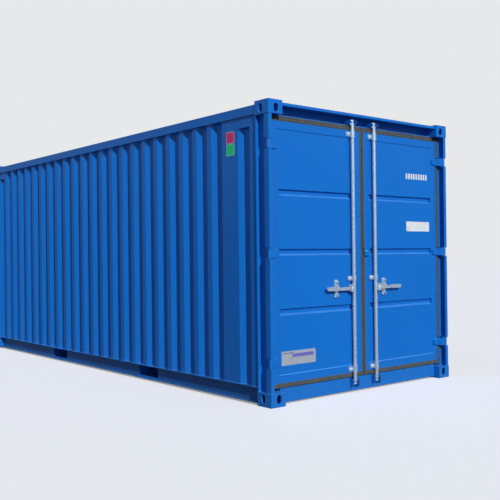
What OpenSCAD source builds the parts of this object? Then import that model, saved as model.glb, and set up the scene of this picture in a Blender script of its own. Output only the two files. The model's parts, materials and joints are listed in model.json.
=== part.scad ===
// Shipping container, steel, with double doors at one end.
// Length along X with the doors at +X, width along Y, height along Z, in millimetres.
// The origin is the middle of the footprint, on the ground.

/* [Box] */
// Overall length, over the corner castings
box_l = 6058; // [5800:1:6300]
// Overall width, over the corner castings
box_w = 2438; // [2350:1:2550]
// Overall height, over the corner castings
box_h = 2591; // [2550:1:2900]

/* [Corner castings] */
// Casting length along X
cast_l = 178; // [175:1:185]
// Casting width along Y
cast_w = 162; // [158:1:170]
// Casting height
cast_h = 118; // [116:1:124]
// Thickness of the plate with the long slot
cast_plate = 28; // [24:1:30]
// Thickness of the outer end and side walls
cast_skin = 16; // [12:1:18]
// Thickness of the walls that face into the container
cast_back = 12; // [10:1:13]
// Length of the slot for a twist lock
slot_l = 124; // [118:1:124]
// Width of the slot for a twist lock
slot_w = 63.5; // [58:0.5:66]
// Distance of a slot's middle from the end face
slot_in_x = 102.5; // [101:0.5:104]
// Distance of a slot's middle from the side face
slot_in_y = 89.5; // [88:0.5:91]
// Height of the end and side apertures
eye_h = 76; // [70:1:78]
// Width of the end and side apertures
eye_w = 51; // [46:1:56]

/* [Frame] */
// Gap between the ground and the bottom rails
rail_lift = 17; // [12:1:24]
// Top edge of the bottom rails, above ground
rail_top_z = 155; // [150:1:165]
// Inset of the rails and walls from the casting faces
rail_inset = 6; // [4:1:9]
// Depth of the bottom rail flanges
rail_flange = 50; // [50:1:54]
// Plate thickness of the bottom rails and sills
rail_t = 5; // [4:0.5:6]
// Drop from the casting tops to the top rails
top_drop = 26; // [22:1:30]
// Height of the top rail tube
top_rail_h = 80; // [70:1:90]
// Width of the top rail tube
top_rail_w = 60; // [56:1:66]
// Wall thickness of the top rail tube
top_rail_t = 4; // [3:0.5:5]

/* [Walls] */
// Sheet thickness of walls and roof
sheet_t = 2; // [1.6:0.1:2.5]
// Pitch of the side wall corrugations
rib_pitch = 229; // [215:1:240]
// Width of the outer face of a rib
rib_crest = 66; // [56:1:76]
// Width of a sloping face
rib_slope = 56; // [50:1:60]
// Depth of the corrugations
rib_depth = 36; // [30:1:38]
// Inset of the side walls from the outer faces of the rails
wall_in = 14; // [10:1:16]
// Width of the wide flat panel next to the door post
wide_panel = 229; // [200:1:240]
// Width of the narrow strip at the door post
post_strip = 93; // [76:1:100]
// Height of the infill plates under the top rail
infill_h = 94; // [80:1:110]

/* [Door posts] */
// Width of the post's front face
post_w = 38; // [36:1:40]
// Depth of the post's outer channel
post_d = 56; // [54:1:60]
// Plate thickness of the post
post_t = 6; // [5:1:8]
// Depth of the groove in the post's side
post_groove = 40; // [36:1:42]
// Depth of the inner channel of the post, seen from the side
jamb_w = 62; // [56:1:66]

/* [Doors] */
// Depth of the leaf's outer face behind the casting faces
leaf_in = 70; // [68:1:74]
// Thickness of a leaf
leaf_t = 50; // [44:1:54]
// Bottom edge of the leaf
leaf_z0 = 182; // [176:1:190]
// Gap between the top of the leaf and the header
leaf_gap = 12; // [8:1:16]
// Half the gap between the steel edges of the two leaves
leaf_mid = 27; // [24:1:32]
// Distance from the side face to the leaf's hinge edge
leaf_edge = 100; // [96:1:104]
// Width of the raised border of a leaf
border_w = 74; // [60:1:84]
// Depth of the pressed panel behind the border
pan_in = 6; // [3:1:9]
// Sheet thickness of the pressed panel
pan_t = 3; // [2:0.5:4]
// Depth of the horizontal grooves
groove_d = 24; // [16:1:26]
// Height of a horizontal groove
groove_h = 57; // [48:1:62]
// Height of the lowest groove
groove_low = 787; // [740:1:820]
// Pitch of the three grooves
groove_pitch = 515; // [440:1:540]

/* [Header and sill] */
// Drop from the top of the box to the header's lower edge
header_drop = 150; // [146:1:156]
// Drop from the top of the box to the header's upper face
header_cap = 16; // [12:1:20]
// Depth of the header's lip behind the casting faces
lip_depth = 12; // [8:1:14]
// Height of the header's lip
header_lip = 24; // [22:1:30]
// Depth of the header's web behind the casting faces
header_depth = 126; // [122:1:130]
// Depth of the header's lower face, behind the seals
header_seat = 90; // [88:1:94]
// Depth of the sill's face behind the casting faces
sill_depth = 66; // [62:1:68]
// Gap between the sill and the leaves
sill_gap = 44; // [40:1:48]

/* [Door gear] */
// Distance of a locking bar from the middle
bar_y = 149; // [140:1:165]
// Depth of the bar's axis behind the casting faces
bar_in = 45; // [44:1:46]
// Diameter of a locking bar
bar_d = 34; // [32:1:38]
// Height of the handles
handle_z = 966; // [900:1:1050]
// Distance from a handle's pivot to the middle of its round end
handle_l = 300; // [280:1:320]
// Height of the handle's flat bar
handle_h = 36; // [30:1:40]
// Thickness of the handle's flat bar
handle_t = 10; // [8:1:10]
// Length of the handle's thick grip
grip_l = 112; // [90:1:116]
// Thickness of the grip
grip_t = 20; // [14:1:22]
// Distance of the left handle catch from the middle
catch_y_left = 363; // [330:1:380]
// Distance of the right handle catch from the middle
catch_y_right = 290; // [280:1:380]
// Height of the lowest guide on a bar
guide_low = 219; // [218:1:226]
// Height of the middle guide
guide_mid = 1057; // [1040:1:1180]
// Drop from the top of the box to the highest guide
guide_drop = 198; // [197:1:206]
// Length of the sleeves at the ends of a bar
sleeve_h = 72; // [60:1:73]
// Length of the middle sleeve
sleeve_mid_h = 44; // [36:1:60]
// Length of a cam
cam_h = 58; // [50:1:62]
// Height of the lowest hinge
hinge_low = 367; // [340:1:400]
// Height of the middle hinge
hinge_mid = 1293; // [1200:1:1400]
// Drop from the top of the box to the highest hinge
hinge_drop = 374; // [340:1:420]
// Distance of the hinge pin from the side face
pin_side = 25; // [24:1:27]
// Distance of the hinge pin from the end face
pin_end = 28; // [27:1:30]
// Radius of the hinge pin
pin_r = 12; // [10:0.5:13]

/* [Floor] */
// Thickness of the floor boards
floor_t = 28; // [24:1:30]
// Height of a cross member
beam_h = 122; // [110:1:130]
// Flange width of a cross member
beam_w = 45; // [40:1:50]
// Plate thickness of a cross member
beam_t = 4; // [3:0.5:5]
// Width of a fork pocket
fork_w = 360; // [340:1:380]
// Height of the web under a fork pocket's mouth
fork_sill = 17; // [14:1:20]
// Plate thickness of a fork pocket
pocket_t = 5; // [4:0.5:6]
// Width of the straps under a fork pocket, at its mouths
strap_l = 300; // [200:1:320]
// Centre to centre of the fork pockets
fork_pitch = 2050; // [1900:1:2100]
// Number of cross members between a fork pocket and an end
cross_end = 6; // [4:1:6]
// Number of cross members between the fork pockets
cross_mid = 5; // [4:1:6]

/* [Hidden] */
$fn = 48;
// Clearances: a seat, a running fit, a piece set in another one
eps = 0.3;
run = 0.1;
ease = 1;
half_l = box_l / 2;
half_w = box_w / 2;
eye_z = cast_plate + (cast_h - cast_plate - cast_back) / 2;
// Frame
post_back = cast_l;
post_in = rail_inset - 2;
jamb_d = 46;
flank_d = 24;
flank_w = 20;
rear_leg = cast_l - post_in;
rear_lip = 40;
channel_w = 60;
wall_z0 = rail_top_z;
wall_z1 = box_h - top_drop - top_rail_h;
rail_y = half_w - rail_inset;
rail_web = rail_y - rail_flange;
beam_lift = 3;
floor_z = rail_lift + beam_lift + beam_h;
floor_top = floor_z + floor_t;
clear_y = rail_web - rail_t;
fork_x0 = (fork_pitch - fork_w) / 2;
fork_x1 = (fork_pitch + fork_w) / 2;
fork_z0 = rail_lift + fork_sill;
fork_z1 = floor_z - pocket_t;
// Header and sill
header_z0 = box_h - header_drop;
header_z1 = box_h - header_cap;
header_foot = 20;
header_bar = 40;
header_top_t = 12;
ledge_h = 43;
ledge_z = header_z0 + ledge_h;
sill_top = leaf_z0 - sill_gap;
sill_box = 44;
pocket_in = 26;
pocket_rise = 30;
pocket_side = 6;
// Doors
groove_z = [for (i = [0:2]) groove_low + i * groove_pitch];
groove_ramp = 16;
groove_step = 8;
leaf_z1 = header_z0 - leaf_gap;
leaf_x = half_l - leaf_in;
leaf_y1 = half_w - leaf_edge;
border_ramp = 30;
seal_lip = 44;
seal_t = 16;
seal_side = 33;
seal_mid = 4;
seal_gap = 7;
seal_break = 6;
seal_rise = 6;
// Hinges
pin_x = half_l - pin_end;
pin_y = half_w - pin_side;
hinge_z = [hinge_low, hinge_mid, box_h - hinge_drop];
notch_h = 104;
lug_t = 12;
barrel_r = 20;
barrel_h = 74;
blade_t = 12;
blade_reach = 62;
blade_tip = 44;
// Locking bars, guides, keepers and cams
bar_x = half_l - bar_in;
bar_r = bar_d / 2;
sleeve_r = bar_r + 5;
ring_h = 7;
foot_t = 8;
foot_h = 42;
foot_mid_h = 40;
foot_reach = 62;
foot_back = 34;
foot_r = 12;
keeper_w = 84;
keeper_t = 6;
keeper_front = 20;
keeper_top_h = 34;
keeper_sill_h = 76;
keeper_sill_z = 56;
cam_rise = 23;
cam_top_z = header_z0 + cam_rise;
cam_bot_z = 136;
cam_ear = 30;
prong = 22;
// Handles and catches
handle_x = bar_x + 7;
pivot_y = 41;
pivot_r = 8;
hub_h = 68;
hub_t = 6;
hub_gap = handle_t + 10;
catch_t = 8;
catch_h = 62;
catch_w = 20;
catch_pin_z = 8;
catch_pin_r = 6;
keep_t = 6;
keep_w = 44;
keep_h = 164;
keep_hook = 46;
keep_stem = 26;
keep_seat = 10;
tab_z = [1263, 1343];
tab_y = [seal_mid + 3, 72];
tab_lift = 14;
tab_t = 8;
tab_foot = 16;
// Rear wall and roof
rear_rib_crest = 110;
rear_rib_slope = 18;
rear_rib_valley = 104;
rear_rib_depth = 45;
roof_end = 300;
roof_plate_t = 4;
roof_rib_flat = 91;
roof_rib_slope = 14;
roof_rib_depth = 20;
steel_blue = [0.10, 0.38, 0.72];
zinc = [0.72, 0.75, 0.78];
rubber = [0.30, 0.30, 0.28];
timber = [0.62, 0.46, 0.30];

// Stadium outline, long axis along X
module stadium(l, w) {
    square([l - w, w], center = true);
    for (s = [-1, 1])
        translate([s * (l - w) / 2, 0])
            circle(d = w);
}

// Box from two corners
module block(lo, hi) {
    translate(lo)
        cube([for (i = [0:2]) hi[i] - lo[i]]);
}

// Rectangle with round corners, around its middle
module rounded(w, h, r) {
    square([w - 2 * r, h], center = true);
    square([w, h - 2 * r], center = true);
    for (x = [-1, 1], y = [-1, 1])
        translate([x * (w / 2 - r), y * (h / 2 - r)])
            circle(r);
}

// Plate standing across X, from an outline whose axes are Y and Z
module plate_x(t) {
    rotate([90, 0, 90])
        linear_extrude(t)
            children();
}

// Copies a shape on both sides of the X-Z plane
module both_sides() {
    children();
    mirror([0, 1, 0])
        children();
}

// Copies a shape at both ends
module both_ends() {
    children();
    mirror([1, 0, 0])
        children();
}

// One casting in its own corner: outer end at x = 0, outer side at y = 0, slotted plate at z = 0
module casting() {
    difference() {
        cube([cast_l, cast_w, cast_h]);
        block([cast_skin, cast_skin, cast_plate],
              [cast_l - cast_back, cast_w - cast_back, cast_h - cast_back]);
        translate([slot_in_x, slot_in_y, -1])
            linear_extrude(cast_plate + 2)
                stadium(slot_l, slot_w);
        translate([-1, slot_in_y, eye_z])
            rotate([0, 90, 0])
                linear_extrude(cast_skin + 2)
                    stadium(eye_h, eye_w);
        translate([slot_in_x, cast_skin + 1, eye_z])
            rotate([90, 90, 0])
                linear_extrude(cast_skin + 2)
                    stadium(eye_h, eye_w);
    }
}

module four_castings() {
    both_ends()
        both_sides()
            translate([-half_l, -half_w, 0])
                casting();
}

module bottom_castings() {
    color(steel_blue)
        four_castings();
}

module top_castings() {
    color(steel_blue)
        translate([0, 0, box_h])
            mirror([0, 0, 1])
                four_castings();
}

// Plan of a door post for the corner at the origin: x is the depth from the end face,
// y the distance from the side face
module door_post_plan() {
    groove_y = post_groove + 4;
    side = post_in + post_d;
    end = side + flank_d;
    translate([post_in, post_in]) {
        square([post_t, post_w]);
        square([post_d, post_t]);
    }
    polygon([[side - post_t, post_in], [side, post_in], [end, post_in + flank_w],
             [end, groove_y + post_t], [end - post_t, groove_y + post_t],
             [end - post_t, post_in + flank_w + 2], [side - post_t, post_in + post_t]]);
    translate([end - post_t, groove_y])
        square([post_back - end + post_t, post_t]);
    translate([post_back - post_t, rail_inset])
        square([post_t, groove_y + post_t - rail_inset]);
    translate([post_back - jamb_d, groove_y])
        square([jamb_d, jamb_w]);
}

module post_notch(z) {
    block([-1, -1, z - notch_h / 2],
          [post_in + post_d + flank_d + 1, post_groove + 2, z + notch_h / 2]);
    block([-1, -1, z - notch_h / 2],
          [pin_end + 16, post_w + rail_inset, z + notch_h / 2]);
}

// Door post on the +Y side
module door_post() {
    color(steel_blue)
        translate([half_l, half_w, 0])
            mirror([1, 0, 0])
                mirror([0, 1, 0])
                    difference() {
                        translate([0, 0, cast_h])
                            linear_extrude(box_h - 2 * cast_h)
                                door_post_plan();
                        for (z = hinge_z)
                            post_notch(z);
                    }
}

module left_door_post() {
    mirror([0, 1, 0])
        door_post();
}

module right_door_post() {
    door_post();
}

// Rear post on the +Y side, an open folded section
module rear_post() {
    leg_y = cast_w - post_in;
    lip_y = rear_lip + 10;
    color(steel_blue)
        translate([-half_l + post_in, half_w - post_in, cast_h])
            mirror([0, 1, 0])
                linear_extrude(box_h - 2 * cast_h)
                    polygon([
                        [0, 0], [rear_leg, 0], [rear_leg, rear_lip], [rear_leg - post_t, rear_lip],
                        [rear_leg - post_t, post_t], [rear_lip, post_t], [post_t, rear_lip],
                        [post_t, leg_y - post_t], [lip_y, leg_y - post_t], [lip_y, leg_y], [0, leg_y]
                    ]);
}

module left_rear_post() {
    mirror([0, 1, 0])
        rear_post();
}

module right_rear_post() {
    rear_post();
}

// Header over the doors: a top member, a recessed web and a ledge with the seat of the seals
module door_header() {
    z = header_z1;
    lip = half_l - lip_depth;
    web = half_l - header_depth;
    seat = half_l - header_seat;
    foot = half_l - post_back + header_foot;
    color(steel_blue)
        rotate([90, 0, 0])
            linear_extrude(box_w - 2 * cast_w, center = true)
                polygon([
                    [lip, z], [half_l - cast_l, z], [half_l - cast_l, z - header_top_t],
                    [web - post_t, z - header_top_t], [web - post_t, ledge_z - post_t],
                    [seat - post_t, ledge_z - post_t], [seat - post_t, header_z0 + post_t],
                    [foot, header_z0 + post_t], [foot, header_z0], [seat, header_z0],
                    [seat, ledge_z], [web, ledge_z], [web, z - header_top_t],
                    [lip - header_bar, z - header_top_t], [lip - header_bar, z - header_lip],
                    [lip, z - header_lip]
                ]);
}

// Sill under the doors, with a pocket at each locking bar
module door_sill() {
    x0 = half_l - cast_l;
    x1 = half_l - sill_depth;
    pocket_y = keeper_w / 2 + pocket_side;
    color(steel_blue)
        difference() {
            rotate([90, 0, 0])
                linear_extrude(box_w - 2 * cast_w, center = true)
                    polygon([
                        [x1, rail_lift], [x0, rail_lift], [x0, rail_lift + rail_t],
                        [x1 - sill_box, rail_lift + rail_t], [x1 - sill_box, sill_top - rail_t],
                        [x0, sill_top - rail_t], [x0, sill_top], [x1, sill_top]
                    ]);
            both_sides()
                block([x1 - pocket_in, bar_y - pocket_y, rail_lift + pocket_rise],
                      [half_l, bar_y + pocket_y, sill_top + 1]);
        }
}

// Rear top member, a square tube
module rear_header() {
    z = box_h - top_drop;
    color(steel_blue)
        rotate([90, 0, 0])
            linear_extrude(box_w - 2 * cast_w, center = true)
                translate([-half_l + rail_inset, z - top_rail_h])
                    difference() {
                        square([top_rail_w, top_rail_h]);
                        translate([top_rail_t, top_rail_t])
                            square([top_rail_w - 2 * top_rail_t, top_rail_h - 2 * top_rail_t]);
                    }
}

// Rear bottom member, a channel open to the inside
module rear_sill() {
    color(steel_blue)
        rotate([90, 0, 0])
            linear_extrude(box_w - 2 * cast_w, center = true)
                translate([-half_l + rail_inset, 0])
                    polygon([
                        [0, rail_lift], [channel_w, rail_lift], [channel_w, rail_lift + rail_t],
                        [rail_t, rail_lift + rail_t], [rail_t, rail_top_z - rail_t],
                        [channel_w, rail_top_z - rail_t], [channel_w, rail_top_z], [0, rail_top_z]
                    ]);
}

// Top rails, square tubes
module top_rails() {
    color(steel_blue)
        both_sides()
            rotate([90, 0, 90])
                linear_extrude(box_l - 2 * cast_l, center = true)
                    translate([rail_y - top_rail_w, box_h - top_drop - top_rail_h])
                        difference() {
                            square([top_rail_w, top_rail_h]);
                            translate([top_rail_t, top_rail_t])
                                square([top_rail_w - 2 * top_rail_t, top_rail_h - 2 * top_rail_t]);
                        }
}

// Bottom rails, channels open to the outside, in three lengths a side between the fork pockets
module rail_length(x0, x1) {
    translate([x0, 0, 0])
        plate_x(x1 - x0)
            polygon([
                [rail_y, rail_lift], [rail_y, rail_lift + rail_t], [rail_web, rail_lift + rail_t],
                [rail_web, rail_top_z - rail_t], [rail_y, rail_top_z - rail_t],
                [rail_y, rail_top_z], [clear_y, rail_top_z], [clear_y, rail_lift]
            ]);
}

module bottom_rails() {
    color(steel_blue)
        both_sides() {
            rail_length(-half_l + cast_l, -fork_x1 - pocket_t);
            rail_length(-fork_x0 + pocket_t, fork_x0 - pocket_t);
            rail_length(fork_x1 + pocket_t, half_l - cast_l);
        }
}

// Side wall outline from the door post to the rear post: distance from the door end and depth
rib_valley = rib_pitch - rib_crest - 2 * rib_slope;
strip_end = post_back + post_strip;
wide_start = strip_end + rib_slope + rib_valley + rib_slope;
ribs_start = wide_start + wide_panel;
rear_edge = box_l - post_in - rear_leg;
rear_strip = 12;
rib_count = floor((rear_edge - ribs_start + rib_crest - rear_strip) / rib_pitch);
function rib_points(s) = [
    [s, 0], [s + rib_slope, rib_depth], [s + rib_slope + rib_valley, rib_depth],
    [s + 2 * rib_slope + rib_valley, 0]
];
wall_line = concat(
    [[post_back, 0]],
    rib_points(strip_end),
    [for (i = [0:rib_count - 1]) each rib_points(ribs_start + i * rib_pitch)],
    [[rear_edge, 0]]
);

// Closed outline of a folded sheet from its outer line
function sheet_outline(line, t) = concat(
    line,
    [for (i = [len(line) - 1:-1:0]) [line[i][0], line[i][1] + t]]
);

// Side wall on the +Y side
module side_wall() {
    color(steel_blue)
        translate([half_l, rail_y - wall_in, wall_z0])
            mirror([1, 0, 0])
                mirror([0, 1, 0])
                    linear_extrude(wall_z1 - wall_z0)
                        polygon(sheet_outline(wall_line, sheet_t));
}

module left_wall() {
    mirror([0, 1, 0])
        side_wall();
}

module right_wall() {
    side_wall();
}

// Rear wall between the rear posts
rear_pitch = rear_rib_crest + rear_rib_valley + 2 * rear_rib_slope;
rear_span = box_w - 2 * cast_w;
rear_count = floor((rear_span - rear_rib_crest) / rear_pitch);
rear_start = (rear_span - rear_count * rear_pitch + rear_rib_crest) / 2;
function rear_points(s) = [
    [s, 0], [s + rear_rib_slope, rear_rib_depth],
    [s + rear_rib_slope + rear_rib_valley, rear_rib_depth],
    [s + 2 * rear_rib_slope + rear_rib_valley, 0]
];
rear_line = concat(
    [[0, 0]],
    [for (i = [0:rear_count - 1]) each rear_points(rear_start + i * rear_pitch)],
    [[rear_span, 0]]
);

module rear_wall() {
    color(steel_blue)
        translate([-half_l + rail_inset, -rear_span / 2, wall_z0])
            mirror([1, -1, 0])
                linear_extrude(wall_z1 - wall_z0)
                    polygon(sheet_outline(rear_line, sheet_t));
}

// Plates that close the first and last valley of each side wall under the top rail
module infill(s) {
    depth = rib_depth - ease * 1.4;
    color(steel_blue)
        translate([half_l - s, rail_y - wall_in, wall_z1 - infill_h])
            mirror([1, 0, 0])
                mirror([0, 1, 0])
                    linear_extrude(infill_h)
                        polygon([
                            [ease, 0], [2 * rib_slope + rib_valley - ease, 0],
                            [rib_slope + rib_valley - ease, depth], [rib_slope + ease, depth]
                        ]);
}

module wall_infills() {
    both_sides() {
        infill(strip_end);
        infill(ribs_start + (rib_count - 1) * rib_pitch);
    }
}

// Roof sheet with transverse swages between the side rails
roof_pitch = 2 * roof_rib_flat + 2 * roof_rib_slope;
roof_x0 = -half_l + roof_end;
roof_x1 = half_l - roof_end;
roof_count = floor((roof_x1 - roof_x0 - roof_rib_flat) / roof_pitch);
roof_start = (roof_x1 - roof_x0 - roof_count * roof_pitch + roof_rib_flat) / 2;
function roof_points(s) = [
    [s, 0], [s + roof_rib_slope, roof_rib_depth],
    [s + roof_rib_slope + roof_rib_flat, roof_rib_depth],
    [s + 2 * roof_rib_slope + roof_rib_flat, 0]
];
roof_line = concat(
    [[0, 0]],
    [for (i = [0:roof_count - 1]) each roof_points(roof_start + i * roof_pitch)],
    [[roof_x1 - roof_x0, 0]]
);

module roof_panel() {
    color(steel_blue)
        translate([roof_x0, 0, box_h - top_drop])
            rotate([90, 0, 0])
                linear_extrude(2 * (rail_y - top_rail_w), center = true)
                    mirror([0, 1])
                        polygon(sheet_outline(roof_line, sheet_t));
}

// Flat roof plates at both ends: one at the doors, two at the rear
module roof_end_plates() {
    z1 = box_h - top_drop;
    z0 = z1 - roof_plate_t;
    inner_y = rail_y - top_rail_w;
    color(steel_blue) {
        block([roof_x1, -inner_y, z0], [half_l - cast_l, inner_y, z1]);
        block([-half_l + cast_l, -inner_y, z0], [roof_x0, inner_y, z1]);
        block([-half_l + rail_inset + top_rail_w, -half_w + cast_w, z0],
              [-half_l + cast_l, half_w - cast_w, z1]);
    }
}

module floor_boards() {
    color(timber)
        block([-half_l + rail_inset + channel_w, -clear_y + 2, floor_z],
              [half_l - cast_l, clear_y - 2, floor_top]);
}

// Cross member, a folded channel from rail to rail, with its back at x
module cross_member(x) {
    translate([x, clear_y, floor_z])
        rotate([90, 0, 0])
            linear_extrude(2 * clear_y)
                polygon([
                    [0, 0], [beam_w, 0], [beam_w, -beam_t], [beam_t, -beam_t],
                    [beam_t, -beam_h + beam_t], [beam_w, -beam_h + beam_t], [beam_w, -beam_h],
                    [0, -beam_h]
                ]);
}

module cross_members() {
    mid_step = 2 * fork_x0 / (cross_mid + 1);
    end_step = (half_l - cast_l - fork_x1) / (cross_end + 1);
    color(steel_blue) {
        for (i = [1:cross_mid])
            cross_member(-fork_x0 + i * mid_step - beam_w / 2);
        for (i = [1:cross_end])
            cross_member(fork_x1 + i * end_step);
        for (i = [1:cross_end])
            cross_member(-fork_x1 - i * end_step - beam_w);
    }
}

// Fork pocket: a top plate that carries the rail's upper bar over each mouth, and below a strap
// with the rail's lower bar at each mouth
module fork_pocket() {
    z0 = rail_lift + beam_lift;
    bar_l = fork_x1 - fork_x0 + 2 * pocket_t;
    block([fork_x0, -rail_web, fork_z1], [fork_x1, rail_web, floor_z]);
    both_sides() {
        translate([fork_x0 - pocket_t, 0, 0])
            plate_x(bar_l) {
                polygon([
                    [clear_y, fork_z1], [rail_web, fork_z1], [rail_web, rail_top_z - rail_t],
                    [rail_y, rail_top_z - rail_t], [rail_y, rail_top_z], [clear_y, rail_top_z]
                ]);
                polygon([
                    [clear_y, rail_lift], [rail_y, rail_lift], [rail_y, rail_lift + rail_t],
                    [rail_web, rail_lift + rail_t], [rail_web, fork_z0], [clear_y, fork_z0]
                ]);
            }
        block([fork_x0, clear_y - strap_l, z0], [fork_x1, rail_web, z0 + pocket_t]);
    }
}

module fork_pockets() {
    color(steel_blue)
        both_ends()
            fork_pocket();
}

// Side plates of the fork pockets, from web to web
module fork_pocket_sides() {
    color(steel_blue)
        both_ends()
            for (x = [fork_x0 - pocket_t, fork_x1])
                translate([x, 0, 0])
                    plate_x(pocket_t) {
                        translate([-clear_y, rail_lift + beam_lift])
                            square([2 * clear_y, beam_h]);
                        translate([-rail_web, fork_z0])
                            square([2 * rail_web, fork_z1 - fork_z0]);
                    }
}

// Hinge lugs on the posts, one above and one below each hinge
module lugs(z) {
    for (s = [-1, 1])
        translate([half_l, half_w, z + s * (notch_h - lug_t) / 2])
            mirror([1, 0, 0])
                mirror([0, 1, 0])
                    difference() {
                        translate([rail_inset, rail_inset, -lug_t / 2])
                            cube([post_d - 4, post_groove - 4, lug_t]);
                        translate([pin_end, pin_side, -lug_t])
                            cylinder(r = pin_r, h = 2 * lug_t);
                    }
}

module hinge_lugs() {
    color(steel_blue)
        both_sides()
            for (z = hinge_z)
                lugs(z);
}

module hinge_pins() {
    color(zinc)
        both_sides()
            for (z = hinge_z)
                translate([pin_x, pin_y, z - notch_h / 2])
                    cylinder(r = pin_r, h = notch_h);
}

// Keeper on the header or the sill: a back plate with two lugs, round at the front
module keeper(back_x, z0, h) {
    nose = 10;
    reach = bar_x + keeper_front - back_x;
    translate([back_x, bar_y, z0]) {
        block([0, -keeper_w / 2, 0], [keeper_t, keeper_w / 2, h]);
        for (s = [-1, 1])
            translate([0, s * (keeper_w - keeper_t) / 2 + keeper_t / 2, 0])
                rotate([90, 0, 0])
                    linear_extrude(keeper_t) {
                        square([reach - nose, h]);
                        translate([0, nose])
                            square([reach, h - 2 * nose]);
                        for (z = [nose, h - nose])
                            translate([reach - nose, z])
                                circle(nose);
                    }
    }
}

module bar_keepers() {
    color(steel_blue)
        both_sides() {
            keeper(half_l - header_depth, ledge_z + 2, keeper_top_h);
            keeper(half_l - sill_depth - pocket_in, keeper_sill_z, keeper_sill_h);
        }
}

// Pressed panel of a leaf, seen from the side: depth and height
function groove_points(z) = [
    [0, z - groove_h / 2], [groove_d, z - groove_h / 2 + groove_ramp],
    [groove_d, z + groove_h / 2 - groove_step], [0, z + groove_h / 2]
];
pan_line = concat(
    [[0, leaf_z0 + border_w - 4]],
    [for (z = groove_z) each groove_points(z)],
    [[0, leaf_z1 - border_w + 4]]
);

// Opening in the border of a leaf: steep steps above and below, long ramps at the sides
module border_opening() {
    y0 = leaf_mid + border_w;
    y1 = leaf_y1 - border_w;
    z0 = leaf_z0 + border_w;
    z1 = leaf_z1 - border_w;
    block([leaf_x - leaf_t - 1, y0, z0], [leaf_x + 1, y1, z1]);
    intersection() {
        translate([0, 0, z0 - pan_in])
            linear_extrude(z1 - z0 + 2 * pan_in)
                polygon([
                    [leaf_x - pan_in, y0], [leaf_x, y0 - border_ramp],
                    [leaf_x, y1 + border_ramp], [leaf_x - pan_in, y1]
                ]);
        translate([0, y1 + border_ramp, 0])
            rotate([90, 0, 0])
                linear_extrude(y1 - y0 + 2 * border_ramp)
                    polygon([
                        [leaf_x - pan_in, z0], [leaf_x, z0 - pan_in],
                        [leaf_x, z1 + pan_in], [leaf_x - pan_in, z1]
                    ]);
    }
}

// Leaf on the +Y side: a border frame and the pressed panel in it
module leaf() {
    y0 = leaf_mid + border_w - 1;
    y1 = leaf_y1 - border_w + 1;
    color(steel_blue) {
        difference() {
            block([leaf_x - leaf_t, leaf_mid, leaf_z0], [leaf_x, leaf_y1, leaf_z1]);
            border_opening();
        }
        translate([leaf_x - pan_in, y0, 0])
            rotate([90, 0, 180])
                linear_extrude(y1 - y0)
                    polygon([for (p = sheet_outline([for (q = pan_line) [q[1], q[0]]], pan_t)) [p[1], p[0]]]);
    }
}

module left_door_leaf() {
    mirror([0, 1, 0])
        leaf();
}

module right_door_leaf() {
    leaf();
}

// Rubber seal round a leaf, a lip that covers the gap to the frame
module gasket() {
    x0 = leaf_x + 2 - seal_t;
    x1 = leaf_x + 2;
    y1 = leaf_y1 + seal_side;
    z1 = leaf_z1 + seal_lip;
    color(rubber)
        difference() {
            block([x0, seal_mid, leaf_z0 - seal_lip + seal_rise], [x1, y1, z1]);
            block([x0 - 1, leaf_mid, leaf_z0], [x1 + 1, leaf_y1, leaf_z1]);
            block([x0 - 1, half_w - cast_w - seal_gap, box_h - cast_h - seal_gap], [x1 + 1, y1 + 1, z1 + 1]);
            for (z = hinge_z)
                block([x0 - 1, leaf_y1 - 1, z - barrel_h / 2 - seal_break],
                      [x1 + 1, y1 + 1, z + barrel_h / 2 + seal_break]);
        }
}

module left_door_gasket() {
    mirror([0, 1, 0])
        gasket();
}

module right_door_gasket() {
    gasket();
}

// Hinge blade: a barrel on the pin and a cranked, tapered strap to the leaf
module hinge_blade(z) {
    tip_y = leaf_edge + blade_reach;
    half_h = barrel_h / 2;
    translate([half_l, half_w, z])
        mirror([1, 0, 0])
            mirror([0, 1, 0])
                difference() {
                    union() {
                        translate([pin_end, pin_side, -half_h])
                            cylinder(r = barrel_r, h = barrel_h);
                        intersection() {
                            translate([0, 0, -half_h])
                                linear_extrude(barrel_h)
                                    polygon([
                                        [pin_end - blade_t / 2, pin_side],
                                        [pin_end - blade_t / 2, leaf_edge - 22],
                                        [leaf_in - blade_t, leaf_edge + 2], [leaf_in - blade_t, tip_y],
                                        [leaf_in, tip_y], [leaf_in, leaf_edge],
                                        [pin_end + blade_t / 2, leaf_edge - 30],
                                        [pin_end + blade_t / 2, pin_side]
                                    ]);
                            rotate([90, 0, 90])
                                linear_extrude(leaf_in)
                                    polygon([
                                        [0, -half_h], [leaf_edge - 10, -half_h], [tip_y, -blade_tip / 2],
                                        [tip_y, blade_tip / 2], [leaf_edge - 10, half_h], [0, half_h]
                                    ]);
                        }
                    }
                    translate([pin_end, pin_side, -half_h - 1])
                        cylinder(r = pin_r + run, h = barrel_h + 2);
                }
}

module hinge_blades() {
    color(steel_blue)
        for (z = hinge_z)
            hinge_blade(z);
}

module left_door_hinges() {
    mirror([0, 1, 0])
        hinge_blades();
}

module right_door_hinges() {
    hinge_blades();
}

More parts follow.
